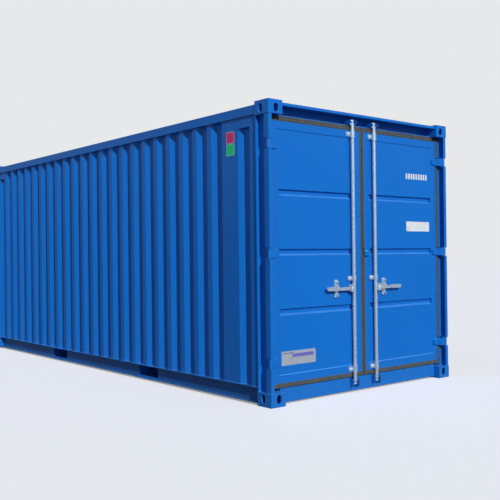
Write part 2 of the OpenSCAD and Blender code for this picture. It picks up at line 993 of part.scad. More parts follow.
// Guide on a locking bar: a foot bolted to the leaf and a sleeve round the bar, with a ring at
// one end. The foot lies on the -Y side of both bars.
module guide(y, z, h, plate_h, ring_z) {
    foot_w = foot_reach + foot_back;
    translate([bar_x, y, z])
        difference() {
            union() {
                translate([0, 0, -h / 2])
                    cylinder(r = sleeve_r, h = h);
                translate([0, 0, ring_z])
                    cylinder(r = sleeve_r + 3, h = ring_h);
                translate([leaf_x - bar_x, foot_back - foot_w / 2, 0])
                    plate_x(foot_t)
                        rounded(foot_w, plate_h, foot_r);
                block([leaf_x - bar_x, -sleeve_r, -plate_h / 2], [0, sleeve_r, plate_h / 2]);
            }
            translate([0, 0, -h])
                cylinder(r = bar_r + run, h = 2 * h);
            block([leaf_x - bar_x - ring_h, -sleeve_r, -h], [leaf_x - bar_x, sleeve_r, h]);
        }
}

module bar_guides(y) {
    end = sleeve_h / 2;
    color(zinc) {
        guide(y, guide_low, sleeve_h, foot_h, end - ring_h);
        guide(y, guide_mid, sleeve_mid_h, foot_mid_h, -ring_h / 2);
        translate([leaf_x - pan_in, y, guide_mid])
            plate_x(pan_in)
                rounded(2 * foot_back, foot_mid_h, foot_r);
        guide(y, box_h - guide_drop, sleeve_h, foot_h, -end);
    }
}

module left_bar_guides() {
    bar_guides(-bar_y);
}

module right_bar_guides() {
    bar_guides(bar_y);
}

// Handle retainer: a plate on the leaf with a seat under the handle and the catch's pivot.
// It has the same hand on both leaves.
module retainer(y) {
    seat_z = -handle_h / 2 - eps;
    color(zinc)
        translate([leaf_x, y, handle_z]) {
            translate([-pan_in, 0, 0])
                plate_x(keep_t + pan_in)
                    rounded(keep_w, keep_h, foot_r);
            block([0, -keep_hook, seat_z - keep_seat],
                  [handle_x - leaf_x + handle_t / 2, -keep_stem, seat_z]);
            block([0, -keep_hook, seat_z - keep_seat], [keep_t, -20, 20]);
            translate([0, 0, catch_pin_z])
                rotate([0, 90, 0])
                    cylinder(r = catch_pin_r, h = keep_t + ease + catch_t - 1);
        }
}

module left_handle_retainer() {
    retainer(-catch_y_left);
}

module right_handle_retainer() {
    retainer(catch_y_right);
}

// Catch: a plate with a nose above and below the handle, free to swing behind it
module catch(y) {
    w = catch_w / 2;
    color(zinc)
        translate([leaf_x + keep_t + ease, y, handle_z])
            difference() {
                union() {
                    plate_x(catch_t)
                        polygon([
                            [-w, -catch_h], [w, -catch_h], [w, -40], [w + 24, -8], [w + 24, 16],
                            [w, 44], [w, catch_h], [-w, catch_h]
                        ]);
                    for (s = [-1, 1])
                        translate([0, 0, s * catch_h])
                            rotate([0, 90, 0])
                                cylinder(r = w, h = catch_t + 14);
                }
                translate([-1, 0, catch_pin_z])
                    rotate([0, 90, 0])
                        cylinder(r = catch_pin_r + run, h = catch_t + 2);
            }
}

module left_handle_catch() {
    catch(-catch_y_left);
}

module right_handle_catch() {
    catch(catch_y_right);
}

// Locking bar with the hub that holds the handle: two cheeks with round corners
module locking_bar() {
    hub_y0 = bar_y + 4;
    hub_y1 = bar_y + pivot_y + 22;
    hub_x0 = handle_x - hub_gap / 2;
    color(zinc) {
        translate([bar_x, bar_y, cam_bot_z])
            cylinder(r = bar_r, h = cam_top_z - cam_bot_z);
        difference() {
            translate([hub_x0 - hub_t, (hub_y0 + hub_y1) / 2, handle_z])
                plate_x(hub_gap + 2 * hub_t)
                    rounded(hub_y1 - hub_y0, hub_h, foot_r);
            block([hub_x0, bar_y + bar_r + 2, handle_z - hub_h],
                  [hub_x0 + hub_gap, hub_y1 + 1, handle_z + hub_h]);
        }
        translate([hub_x0 - ease, bar_y + pivot_y, handle_z])
            rotate([0, 90, 0])
                cylinder(r = pivot_r, h = hub_gap + 2 * ease);
    }
}

module left_locking_bar() {
    mirror([0, 1, 0])
        locking_bar();
}

module right_locking_bar() {
    locking_bar();
}

// Cam at the end of a bar, standing up from z = 0: a round stem with two pairs of ears
// that turn behind the keeper's lugs
module cam() {
    ear_t = 12;
    cylinder(r = bar_r, h = ear_t);
    cylinder(r = bar_r - 5, h = cam_h);
    for (e = [[ear_t + 2, cam_ear], [cam_h - ear_t, prong]])
        translate([0, 0, e[0]])
            linear_extrude(ear_t) {
                circle(bar_r - 2);
                polygon([[-8, -e[1]], [4, -e[1]], [bar_r - 2, 0], [4, e[1]], [-8, e[1]], [-bar_r + 2, 0]]);
            }
}

module bar_cams() {
    color(zinc)
        translate([bar_x, bar_y, 0]) {
            translate([0, 0, cam_top_z])
                cam();
            translate([0, 0, cam_bot_z])
                mirror([0, 0, 1])
                    cam();
        }
}

module left_bar_cams() {
    mirror([0, 1, 0])
        bar_cams();
}

module right_bar_cams() {
    bar_cams();
}

// Handle: a flat bar on the hub's pin, with a thick grip at its free end
module handle() {
    h = handle_h / 2;
    color(zinc)
        translate([handle_x, bar_y + pivot_y, handle_z])
            difference() {
                union() {
                    translate([-handle_t / 2, 0, 0])
                        plate_x(handle_t) {
                            circle(h);
                            polygon([
                                [0, -h], [handle_l - grip_l, -h], [handle_l - grip_l, h - 8],
                                [0.4 * handle_l, h - 8], [0, h]
                            ]);
                        }
                    translate([-grip_t / 2, handle_l - grip_l / 2, 0])
                        plate_x(grip_t)
                            stadium(grip_l + handle_h, handle_h);
                }
                translate([-handle_t, 0, 0])
                    rotate([0, 90, 0])
                        cylinder(r = pivot_r + run, h = 2 * handle_t);
            }
}

module left_handle() {
    mirror([0, 1, 0])
        handle();
}

module right_handle() {
    handle();
}

// Tab plate on the right leaf, held off the seal between the leaves by a foot on the border
module right_door_tab() {
    color(steel_blue)
        translate([leaf_x, 0, tab_z[0]]) {
            block([0, leaf_mid + 3, 0], [tab_lift, leaf_mid + 3 + tab_foot, tab_z[1] - tab_z[0]]);
            translate([tab_lift, (tab_y[0] + tab_y[1]) / 2, (tab_z[1] - tab_z[0]) / 2])
                plate_x(tab_t)
                    rounded(tab_y[1] - tab_y[0], tab_z[1] - tab_z[0], foot_r);
        }
}

bottom_castings();
top_castings();
left_door_post();
right_door_post();
left_rear_post();
right_rear_post();
door_header();
door_sill();
rear_header();
rear_sill();
top_rails();
bottom_rails();
left_wall();
right_wall();
rear_wall();
wall_infills();
roof_panel();
roof_end_plates();
floor_boards();
cross_members();
fork_pockets();
fork_pocket_sides();
hinge_lugs();
hinge_pins();
bar_keepers();
left_door_leaf();
left_door_gasket();
left_door_hinges();
left_bar_guides();
left_handle_retainer();
left_locking_bar();
left_bar_cams();
left_handle();
left_handle_catch();
right_door_leaf();
right_door_gasket();
right_door_hinges();
right_bar_guides();
right_handle_retainer();
right_locking_bar();
right_bar_cams();
right_handle();
right_handle_catch();
right_door_tab();
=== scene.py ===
"""Looks of a 20 foot steel storage container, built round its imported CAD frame. Lengths are in metres."""
import json
import math
import random

import bmesh
import bpy
from mathutils import Matrix, Vector


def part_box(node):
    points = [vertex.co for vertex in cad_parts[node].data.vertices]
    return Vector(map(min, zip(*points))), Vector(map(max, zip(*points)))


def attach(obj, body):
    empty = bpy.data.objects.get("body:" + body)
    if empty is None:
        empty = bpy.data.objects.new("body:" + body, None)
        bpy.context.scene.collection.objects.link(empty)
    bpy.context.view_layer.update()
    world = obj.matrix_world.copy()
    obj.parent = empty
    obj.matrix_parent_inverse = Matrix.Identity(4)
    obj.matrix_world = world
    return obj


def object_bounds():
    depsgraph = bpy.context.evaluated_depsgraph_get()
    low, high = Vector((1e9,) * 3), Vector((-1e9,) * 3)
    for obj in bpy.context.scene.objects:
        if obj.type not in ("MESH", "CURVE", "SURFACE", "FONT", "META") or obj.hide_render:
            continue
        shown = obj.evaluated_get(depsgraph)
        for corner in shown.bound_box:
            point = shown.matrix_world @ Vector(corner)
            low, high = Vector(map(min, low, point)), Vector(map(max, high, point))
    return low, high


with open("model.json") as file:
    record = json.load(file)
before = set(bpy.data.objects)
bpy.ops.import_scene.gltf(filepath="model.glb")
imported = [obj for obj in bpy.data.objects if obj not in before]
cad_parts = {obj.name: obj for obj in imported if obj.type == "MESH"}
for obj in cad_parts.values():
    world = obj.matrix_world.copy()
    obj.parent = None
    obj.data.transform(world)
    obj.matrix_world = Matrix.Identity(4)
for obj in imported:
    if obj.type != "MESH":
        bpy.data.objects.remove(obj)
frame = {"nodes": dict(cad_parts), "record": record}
cad_box = [list(corner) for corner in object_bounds()]
random.seed(20)

# Camera of the photograph, in the frame's axes
CAMERA_PLACE = Vector((7.833, -5.397, 1.285))
CAMERA_FORWARD = Vector((-0.7711, 0.6366, 0.0061)).normalized()
CAMERA_ROLL = math.radians(-0.65)
CAMERA_LENS_MM = 55.03
SENSOR_MM = 36.0

# Light: a low sun from the door end and the left, and an even sky
SUN_FROM = Vector((0.86, -0.25, 0.47)).normalized()
SUN_STRENGTH = 2.95
SUN_ANGLE = math.radians(1.2)
SKY_COLOUR = (0.50, 0.86, 1.40)
SKY_STRENGTH = 0.19
BACKDROP_COLOUR = (0.80, 0.81, 0.82)
MIRRORED_HORIZON = (0.06, 0.14, 0.28)
MIRRORED_ZENITH = (1.5, 1.8, 2.2)
MIRRORED_RISE = (-0.1, 0.8)
FLOOR_SEEN = (0.93, 0.87, 0.81)
FLOOR_LIT = (0.26, 0.26, 0.25)
FLOOR_GLOW = 0.29
FLOOR_SIZE = 160.0

# Colours, linear
PAINT_BLUE = (0.004, 0.162, 0.590)
PAINT_DUST = (0.035, 0.190, 0.500)
# Chalked paint, and also a painted sheen: a lighter blue on faces that turn up
PAINT_CHALK_AND_SHEEN = (0.085, 0.340, 0.780)
PAINT_SPLASH = (0.060, 0.205, 0.480)
# Painted shade: a near-black blue on faces that turn down, low down
PAINT_UNDER_SHADE = (0.010, 0.030, 0.080)
PAINT_DULL = (0.016, 0.080, 0.150)
# Bare steel at the rails' lowest outer edges, and also a painted highlight there
PAINT_SCRAPED_AND_HIGHLIGHT = (0.50, 0.56, 0.62)
ZINC_PALE = (0.55, 0.65, 0.75)
ZINC_DARK = (0.35, 0.42, 0.50)
RUBBER_GREY = (0.078, 0.084, 0.086)
RUBBER_DUST = (0.140, 0.142, 0.134)
WOOD_LIGHT = (0.36, 0.21, 0.11)
WOOD_DARK = (0.19, 0.10, 0.05)
WOOD_JOINT = (0.03, 0.02, 0.015)
SHEET_LENGTH = 2.4
SHEET_WIDTH = 1.15
LABEL_WHITE = (0.80, 0.82, 0.82)
LABEL_RED = (0.90, 0.015, 0.14)
LABEL_GREEN = (0.005, 0.70, 0.21)
RIM_RED = (0.92, 0.48, 0.56)
RIM_GREEN = (0.38, 0.86, 0.58)
PLATE_SILVER = (0.50, 0.53, 0.58)
PLATE_VIOLET = (0.16, 0.15, 0.48)
CAP_TEAL = (0.02, 0.42, 0.45)

# Weather and painted light: how far a face turns up or down, the heights between which chalk with its painted
# sheen, splashes and the painted shade underneath fade, and the top of bare edges that also carry a painted
# highlight
TURNED_UP = (0.30, 0.70)
TURNED_DOWN = (-0.5, -0.95)
CHALK_AND_SHEEN_FROM = (0.03, 0.10)
SPLASH_TO = (0.34, 0.04)
UNDER_SHADE_TO = (0.60, 0.20)
RAIL_EDGE = 0.023

# How noise is stretched and spread
RUN_STRETCH = (9.0, 9.0, 0.55)
GRAIN_STRETCH = (2.5, 46.0, 20.0)
NOISE_SPREAD = (0.3, 0.7)


def mixed(tree, factor, first, second):
    """Colour between two colours, each given as three numbers or as another node's colour."""
    made = tree.nodes.new("ShaderNodeMix")
    made.data_type = "RGBA"
    for name, value in (("Factor", factor), ("A", first), ("B", second)):
        socket = next(s for s in made.inputs if s.name == name and s.enabled)
        if isinstance(value, bpy.types.NodeSocket):
            tree.links.new(value, socket)
        elif name == "Factor":
            socket.default_value = value
        else:
            socket.default_value = (*value, 1.0)
    return next(s for s in made.outputs if s.enabled)


class Nodes:
    """Short calls for building one material's nodes."""

    def __init__(self, name):
        self.material = bpy.data.materials.new(name)
        self.material.use_nodes = True
        self.tree = self.material.node_tree
        self.tree.nodes.clear()
        output = self.tree.nodes.new("ShaderNodeOutputMaterial")
        self.shader = self.tree.nodes.new("ShaderNodeBsdfPrincipled")
        self.tree.links.new(self.shader.outputs["BSDF"], output.inputs["Surface"])
        self.place = self.tree.nodes.new("ShaderNodeTexCoord").outputs["Object"]

    def node(self, kind, **inputs):
        made = self.tree.nodes.new(kind)
        for name, value in inputs.items():
            self.feed(made, name.replace("_", " "), value)
        return made

    def feed(self, made, name, value):
        socket = made.inputs[name]
        if isinstance(value, bpy.types.NodeSocket):
            self.tree.links.new(value, socket)
        else:
            socket.default_value = value

    def stretched(self, x, y, z):
        """The object's coordinates, scaled on each axis."""
        mapping = self.node("ShaderNodeMapping", Vector=self.place)
        mapping.inputs["Scale"].default_value = (x, y, z)
        return mapping.outputs["Vector"]

    def noise(self, scale, detail=3.0, roughness=0.5, place=None):
        made = self.node("ShaderNodeTexNoise", Scale=scale, Detail=detail, Roughness=roughness,
                         Vector=place or self.place)
        return made.outputs["Fac"]

    def ramp(self, value, low, high, start=0.0, end=1.0):
        """Value between low and high, mapped to start and end and clamped there."""
        made = self.node("ShaderNodeMapRange", Value=value)
        made.inputs["From Min"].default_value = low
        made.inputs["From Max"].default_value = high
        made.inputs["To Min"].default_value = start
        made.inputs["To Max"].default_value = end
        return made.outputs["Result"]

    def patches(self, scale, detail, start, end, roughness=0.5):
        """Noise that fills the range from start to end."""
        return self.ramp(self.noise(scale, detail, roughness), *NOISE_SPREAD, start, end)

    def math(self, operation, a, b):
        made = self.tree.nodes.new("ShaderNodeMath")
        made.operation = operation
        for socket, value in zip(made.inputs, (a, b)):
            if isinstance(value, bpy.types.NodeSocket):
                self.tree.links.new(value, socket)
            else:
                socket.default_value = value
        return made.outputs[0]

    def mix(self, factor, first, second):
        return mixed(self.tree, factor, first, second)

    def up(self):
        """Height component of the surface's normal."""
        normal = self.tree.nodes.new("ShaderNodeNewGeometry").outputs["Normal"]
        return self.node("ShaderNodeSeparateXYZ", Vector=normal).outputs["Z"]

    def height(self):
        """Height above the ground, as pieces keep the frame's coordinates."""
        return self.node("ShaderNodeSeparateXYZ", Vector=self.place).outputs["Z"]

    def bump(self, height, distance, strength=1.0, normal=None):
        made = self.node("ShaderNodeBump", Height=height, Distance=distance, Strength=strength)
        if normal:
            self.tree.links.new(normal, made.inputs["Normal"])
        return made.outputs["Normal"]

    def finish(self, colour, roughness, normal=None, metallic=0.0, specular=0.5):
        self.feed(self.shader, "Base Color", colour)
        self.feed(self.shader, "Roughness", roughness)
        self.shader.inputs["Metallic"].default_value = metallic
        self.shader.inputs["Specular IOR Level"].default_value = specular
        if normal:
            self.tree.links.new(normal, self.shader.inputs["Normal"])
        return self.material


def scraped_and_highlit(n, paint, top):
    """Paint dulled by road dirt, and worn off the outer edges that lie lower than top, where the pale bare
    colour is also a painted highlight.
    """
    dulled = n.mix(n.patches(3.0, 5.0, 0.35, 0.60), paint, PAINT_DULL)
    lowest = n.ramp(n.height(), top + 0.001, top - 0.001)
    edge = n.math("MULTIPLY", lowest, n.ramp(n.up(), 0.5, 0.3))
    # Pale bare steel on the lowest outer edges, which is also a painted highlight along the rail's foot
    bare = n.math("MULTIPLY", edge, n.patches(4.0, 6.0, 0.50, 0.95, 0.7))
    return n.mix(bare, dulled, PAINT_SCRAPED_AND_HIGHLIGHT)


def painted_steel(name="painted_steel", rough_cast=False, bare_and_highlit_below=None):
    """Satin paint with faint runs, chalked and lighter with a painted sheen where it faces up, with splashes
    low down and a painted shade on faces that turn down.
    """
    n = Nodes(name)
    shaded = tuple(0.86 * c for c in PAINT_BLUE)
    even = n.mix(n.patches(1.3, 4.0, 0.0, 0.22, 0.6), PAINT_BLUE, shaded)
    runs = n.noise(1.0, 5.0, 0.6, n.stretched(*RUN_STRETCH))
    streaked = n.mix(n.ramp(runs, 0.55, 0.85, 0.0, 0.14), even, PAINT_DUST)
    # Chalk and a painted sheen: lighter paint on faces that turn up, above the lowest few centimetres
    upper = n.math("MULTIPLY", n.ramp(n.up(), *TURNED_UP), n.ramp(n.height(), *CHALK_AND_SHEEN_FROM))
    chalk_and_sheen = n.mix(n.math("MULTIPLY", upper, n.patches(7.0, 5.0, 0.40, 0.75)), streaked, PAINT_CHALK_AND_SHEEN)
    splash = n.math("MULTIPLY", n.ramp(n.height(), *SPLASH_TO), n.patches(16.0, 6.0, 0.04, 0.30, 0.65))
    coat = n.mix(splash, chalk_and_sheen, PAINT_SPLASH)
    if bare_and_highlit_below:
        coat = scraped_and_highlit(n, coat, bare_and_highlit_below)
    # Painted shade: paint darkened on faces that turn down, strongest below 0.2 m and gone above 0.6 m
    below = n.math("MULTIPLY", n.ramp(n.up(), *TURNED_DOWN), n.ramp(n.height(), *UNDER_SHADE_TO))
    colour = n.mix(n.math("MULTIPLY", below, n.patches(4.0, 5.0, 0.35, 0.8)), coat, PAINT_UNDER_SHADE)
    if rough_cast:
        under_paint = n.bump(n.noise(150.0, 4.0, 0.6), 0.0012, 0.6)
    else:
        under_paint = n.bump(n.noise(2.2, 2.0), 0.004, 0.35)
    peel = n.bump(n.noise(420.0, 2.0), 0.0004, 0.25, under_paint)
    return n.finish(colour, n.patches(22.0, 3.0, 0.30, 0.42), peel, specular=0.30)


def galvanised_steel(name="galvanised_steel", brighter=1.0):
    """Hot-dip zinc: pale crystals of uneven tone, duller patches and fine scratches."""
    n = Nodes(name)
    pale = tuple(brighter * c for c in ZINC_PALE)
    dark = tuple(brighter * c for c in ZINC_DARK)
    cells = n.node("ShaderNodeTexVoronoi", Scale=85.0, Vector=n.place)
    tone = n.node("ShaderNodeSeparateColor", Color=cells.outputs["Color"]).outputs["Red"]
    spangled = n.mix(n.ramp(tone, 0.0, 1.0, 0.0, 0.30), pale, dark)
    colour = n.mix(n.ramp(n.noise(14.0, 5.0), 0.5, 0.75, 0.0, 0.4), spangled, dark)
    roughness = n.ramp(tone, 0.0, 1.0, 0.26, 0.40)
    grain = n.bump(n.noise(260.0, 3.0), 0.0004, 0.3)
    return n.finish(colour, roughness, grain, metallic=0.45)


def seal_rubber():
    """Matt rubber with pale dust."""
    n = Nodes("seal_rubber")
    dust = n.ramp(n.noise(18.0, 6.0, 0.7), 0.42, 0.72, 0.0, 0.75)
    colour = n.mix(dust, RUBBER_GREY, RUBBER_DUST)
    return n.finish(colour, 0.82, n.bump(n.noise(160.0, 3.0), 0.0006, 0.5), specular=0.25)


def floor_timber():
    """Sealed plywood: long grain, sheet joints across and scuffs from use."""
    n = Nodes("floor_timber")
    grain = n.noise(2.0, 8.0, 0.7, n.stretched(*GRAIN_STRETCH))
    wood = n.mix(n.ramp(grain, *NOISE_SPREAD), WOOD_DARK, WOOD_LIGHT)
    scuffed = n.mix(n.ramp(n.noise(5.0, 7.0, 0.7), 0.55, 0.75, 0.0, 0.35), wood, WOOD_DARK)
    sheets = n.node("ShaderNodeTexBrick", Vector=n.place, Scale=1.0, Mortar_Size=0.003,
                    Brick_Width=SHEET_LENGTH, Row_Height=SHEET_WIDTH)
    seam = sheets.outputs["Fac"]
    jointed = n.mix(seam, scuffed, WOOD_JOINT)
    grooved = n.bump(n.math("SUBTRACT", n.math("MULTIPLY", grain, 0.3), seam), 0.0015, 0.6)
    return n.finish(jointed, n.ramp(grain, *NOISE_SPREAD, 0.45, 0.65), grooved)


def label_film(name, colour, roughness=0.35, metallic=0.0):
    """Printed film or thin plate with patches of thin dirt."""
    n = Nodes(name)
    dirty = tuple(0.72 * c for c in colour)
    tint = n.mix(n.ramp(n.noise(30.0, 5.0), 0.45, 0.75, 0.0, 0.5), colour, dirty)
    return n.finish(tint, roughness, n.bump(n.noise(120.0, 2.0), 0.0003, 0.3), metallic=metallic)


MATERIALS = {
    "painted_steel": painted_steel(),
    "painted_casting": painted_steel("painted_casting", rough_cast=True),
    "painted_rail": painted_steel("painted_rail", bare_and_highlit_below=RAIL_EDGE),
    "galvanised_steel": galvanised_steel(),
    "seal_rubber": seal_rubber(),
    "floor_timber": floor_timber(),
    "bright_zinc": galvanised_steel("bright_zinc", 1.35),
    "label_white": label_film("label_white", LABEL_WHITE),
    "label_red": label_film("label_red", LABEL_RED),
    "label_green": label_film("label_green", LABEL_GREEN),
    "rim_red": label_film("rim_red", RIM_RED),
    "rim_green": label_film("rim_green", RIM_GREEN),
    "plate_silver": label_film("plate_silver", PLATE_SILVER, 0.4, 0.3),
    "plate_violet": label_film("plate_violet", PLATE_VIOLET),
    "cap_teal": label_film("cap_teal", CAP_TEAL),
}


def dress_frame():
    """Gives each CAD node its material, with rougher paint on castings and, under the rails, an edge worn
    bare that is also a painted highlight.
    """
    variants = {
        "bottom_castings": "painted_casting",
        "top_castings": "painted_casting",
        "bottom_rails": "painted_rail",
    }
    for part in frame["record"]["subparts"]:
        mesh = frame["nodes"][part["node"]].data
        mesh.materials.clear()
        mesh.materials.append(MATERIALS[variants.get(part["node"], part["material_slot"])])


def add_camera():
    right = CAMERA_FORWARD.cross(Vector((0, 0, 1))).normalized()
    up = right.cross(CAMERA_FORWARD)
    tilted_right = math.cos(CAMERA_ROLL) * right + math.sin(CAMERA_ROLL) * up
    tilted_up = math.cos(CAMERA_ROLL) * up - math.sin(CAMERA_ROLL) * right
    camera = bpy.data.objects.new("camera", bpy.data.cameras.new("camera"))
    camera.data.sensor_width = SENSOR_MM
    camera.data.lens = CAMERA_LENS_MM
    camera.data.clip_end = 400.0
    turn = Matrix((tilted_right, tilted_up, -CAMERA_FORWARD)).transposed()
    camera.matrix_world = Matrix.Translation(CAMERA_PLACE) @ turn.to_4x4()
    bpy.context.scene.collection.objects.link(camera)
    bpy.context.scene.camera = camera


def add_sun():
    sun = bpy.data.objects.new("sun", bpy.data.lights.new("sun", "SUN"))
    sun.data.energy = SUN_STRENGTH
    sun.data.angle = SUN_ANGLE
    sun.rotation_mode = "QUATERNION"
    sun.rotation_quaternion = SUN_FROM.to_track_quat("Z", "Y")
    bpy.context.scene.collection.objects.link(sun)


def ray_kind(tree, *kinds):
    """1 for rays of these kinds, else 0."""
    rays = tree.nodes.new("ShaderNodeLightPath")
    found = rays.outputs[kinds[0]]
    for kind in kinds[1:]:
        either = tree.nodes.new("ShaderNodeMath")
        either.operation = "MAXIMUM"
        tree.links.new(found, either.inputs[0])
        tree.links.new(rays.outputs[kind], either.inputs[1])
        found = either.outputs[0]
    return found


def mirrored_sky(tree):
    """Sky that gloss shows: dim at the horizon and bright overhead."""
    direction = tree.nodes.new("ShaderNodeTexCoord").outputs["Generated"]
    parts = tree.nodes.new("ShaderNodeSeparateXYZ")
    tree.links.new(direction, parts.inputs[0])
    ramp = tree.nodes.new("ShaderNodeMapRange")
    ramp.interpolation_type = "SMOOTHSTEP"
    ramp.inputs["From Min"].default_value = MIRRORED_RISE[0]
    ramp.inputs["From Max"].default_value = MIRRORED_RISE[1]
    tree.links.new(parts.outputs["Z"], ramp.inputs["Value"])
    return mixed(tree, ramp.outputs["Result"], MIRRORED_HORIZON, MIRRORED_ZENITH)


def background(tree, colour, strength=1.0):
    made = tree.nodes.new("ShaderNodeBackground")
    made.inputs["Strength"].default_value = strength
    if isinstance(colour, bpy.types.NodeSocket):
        tree.links.new(colour, made.inputs["Color"])
    else:
        made.inputs["Color"].default_value = (*colour, 1.0)
    return made.outputs[0]


def choose(tree, factor, first, second):
    made = tree.nodes.new("ShaderNodeMixShader")
    for socket, source in zip(made.inputs, (factor, first, second)):
        tree.links.new(source, socket)
    return made.outputs[0]


def add_sky():
    world = bpy.data.worlds.new("sky")
    bpy.context.scene.world = world
    world.use_nodes = True
    tree = world.node_tree
    tree.nodes.clear()
    output = tree.nodes.new("ShaderNodeOutputWorld")
    lighting = background(tree, SKY_COLOUR, SKY_STRENGTH)
    mirrored = background(tree, mirrored_sky(tree))
    backdrop = background(tree, BACKDROP_COLOUR)
    glossy = choose(tree, ray_kind(tree, "Is Glossy Ray"), lighting, mirrored)
    seen = choose(tree, ray_kind(tree, "Is Camera Ray", "Is Transmission Ray"), glossy, backdrop)
    tree.links.new(seen, output.inputs["Surface"])


def add_floor():
    """Pale ground. The camera sees it lighter than its bounced light is, and as pale as the backdrop."""
    n = Nodes("stage_floor")
    seen = ray_kind(n.tree, "Is Camera Ray")
    n.finish(n.mix(seen, FLOOR_LIT, FLOOR_SEEN), 0.9, specular=0.0)
    n.shader.inputs["Emission Color"].default_value = (1.0, 1.0, 1.0, 1.0)
    n.feed(n.shader, "Emission Strength", n.math("MULTIPLY", seen, FLOOR_GLOW))
    mesh = bpy.data.meshes.new("stage_floor")
    half = FLOOR_SIZE / 2
    corners = [(-half, -half, 0), (half, -half, 0), (half, half, 0), (-half, half, 0)]
    mesh.from_pydata(corners, [], [(0, 1, 2, 3)])
    mesh.materials.append(n.material)
    floor = bpy.data.objects.new("stage_floor", mesh)
    bpy.context.scene.collection.objects.link(floor)


# Bolts and rivets
BOLT_FLATS = 0.019
BOLT_HEIGHT = 0.008
BOLT_STRAIGHT = 0.75
BOLT_TOP = 0.8
WASHER_RADIUS = 0.0125
WASHER_THICK = 0.0025
GUIDE_BOLT_EDGE = 0.013
GUIDE_BOLT_PITCH = 0.022
GUIDE_BOLT_SCALE = 0.75
RETAINER_BOLT_EDGE = 0.010
RETAINER_BOLT_IN = 0.032
RETAINER_BOLT_SCALE = 0.55
HUB_RIVET_RADIUS = 0.011
HUB_RIVET_HEIGHT = 0.005

# Weld beads, and the length of one ripple on each
BEAD_RADIUS = 0.003
BEAD_SWELL = 0.14
LEAF_RIPPLE = 0.009
POST_RIPPLE = 0.010
WALL_RIPPLE = 0.012
ROOF_RIPPLE = 0.014
CORNER_BEAD_RADIUS = 0.0016
CORNER_BEAD_BOW = 0.004
PANEL_SIDE = 0.044
PANEL_END = 0.074
LEAF_CORNER_SIDE = 0.002
LEAF_CORNER_END = 0.016
BLADE_TIP_HALF = 0.022
POST_FRONT = 0.038

# Lips of the seals, at two shares of the seal's width
LIP_RADIUS = 0.0035
LIP_STEP = 0.05
LIP_SHARES = (0.25, 0.72)
LIP_STOP = 0.006

# Plates at the hinges: depths are from the end face and insets from the side face
FLANK_DEPTH = 0.026
FLANK_WIDTH = 0.018
POCKET_FRONT = 0.040
POCKET_BACK = 0.084
POCKET_OUTER = 0.033
POCKET_INNER = 0.044
POCKET_PLATE = 0.003

# Films and plates on the leaves and the left wall: spans of y and z, and widths by heights
FILM = 0.0008
WIDE_CORNER = 0.006
SMALL_CORNER = 0.004
WHITE_LABEL_Y = (0.656, 1.018)
WHITE_LABEL_Z = (1.501, 1.598)
BLOCK_COUNT = 9
BLOCK_Y = (0.668, 0.977)
BLOCK_Z = (2.022, 2.080)
BLOCK_SIZE = (0.024, 0.056)
PLATE_Y = (-1.031, -0.626)
PLATE_Z = (0.328, 0.449)
PLATE_THICK = 0.0015
PLATE_RIVET_PLACES = (0.194, 0.052)
PLATE_RIVET_RADIUS = 0.004
PLATE_RIVET_HEIGHT = 0.002
BAND_PLACE = (0.050, 0.020)
BAND_SIZE = (0.255, 0.030)
LINE_PLACE = (-0.125, 0.044)
LINE_SIZE = (0.120, 0.007)
BAND_FILM = 0.0003
SIDE_LABEL_BACK = 0.5395
SIDE_LABEL_WIDTH = 0.115
SIDE_LABEL_RIM = 0.006
RED_LABEL_Z = (2.276, 2.378)
GREEN_LABEL_Z = (2.166, 2.270)

# Cap and bolt on the tab, and the floor's screws
CAP_IN = 0.015
CAP_RADIUS = 0.013
CAP_SKIRT = 0.005
CAP_DOME = 0.006
TAB_BOLT_IN = 0.018
TAB_BOLT_DROP = 0.015
TAB_BOLT_SCALE = 0.8
SCREW_LINES = 8
SCREW_RADIUS = 0.006
SCREW_RISE = 0.0006

# Where rays start off a surface, how far lines keep from an edge, and how many rays trace a line
RAY_FROM = 0.1
EDGE_IN = 0.001
WELD_INSET = 0.004
LONG_STEPS = 900
POST_STEPS = 180
LEAST_BEND = 0.05

OUT = (1, 0, 0)
SIDES = ("left", "right")


def facing(side):
    """-1 for the left side, which is -Y, and 1 for the right."""
    return -1 if side == "left" else 1


def add_piece(name, mesh_maker, material, body, smooth=False):
    """Makes an object from a filled bmesh, in a named material, and lets it ride on a body."""
    mesh = bpy.data.meshes.new(name)
    mesh_maker.to_mesh(mesh)
    mesh_maker.free()
    mesh.materials.append(MATERIALS[material])
    for face in mesh.polygons:
        face.use_smooth = smooth
    piece = bpy.data.objects.new(name, mesh)
    bpy.context.scene.collection.objects.link(piece)
    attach(piece, body)


def solids(node):
    """Lowest and highest corners of each separate solid of a CAD node, from the lowest up."""
    source = bmesh.new()
    source.from_mesh(frame["nodes"][node].data)
    bmesh.ops.remove_doubles(source, verts=source.verts, dist=1e-5)
    left = set(source.verts)
    found = []
    while left:
        grown, edge = set(), {left.pop()}
        while edge:
            grown |= edge
            edge = {e.other_vert(v) for v in edge for e in v.link_edges} - grown
        left -= grown
        low = Vector(min(v.co[i] for v in grown) for i in range(3))
        high = Vector(max(v.co[i] for v in grown) for i in range(3))
        found.append((low, high))
    source.free()
    return sorted(found, key=lambda box: (round(box[0].z, 3), box[0].y, box[0].x))


def turned(normal):
    """Rotation that takes +Z to this direction."""
    return Vector(normal).to_track_quat("Z", "Y").to_matrix().to_4x4()


def put_disc(maker, place, normal, radius, height, sides, turn=0.0):
    """Short cylinder or prism that stands on a surface."""
    move = Matrix.Translation(Vector(place) + Vector(normal) * height / 2) @ turned(normal)
    spin = Matrix.Rotation(turn, 4, "Z")
    bmesh.ops.create_cone(maker, cap_ends=True, segments=sides, radius1=radius, radius2=radius,
                          depth=height, matrix=move @ spin)


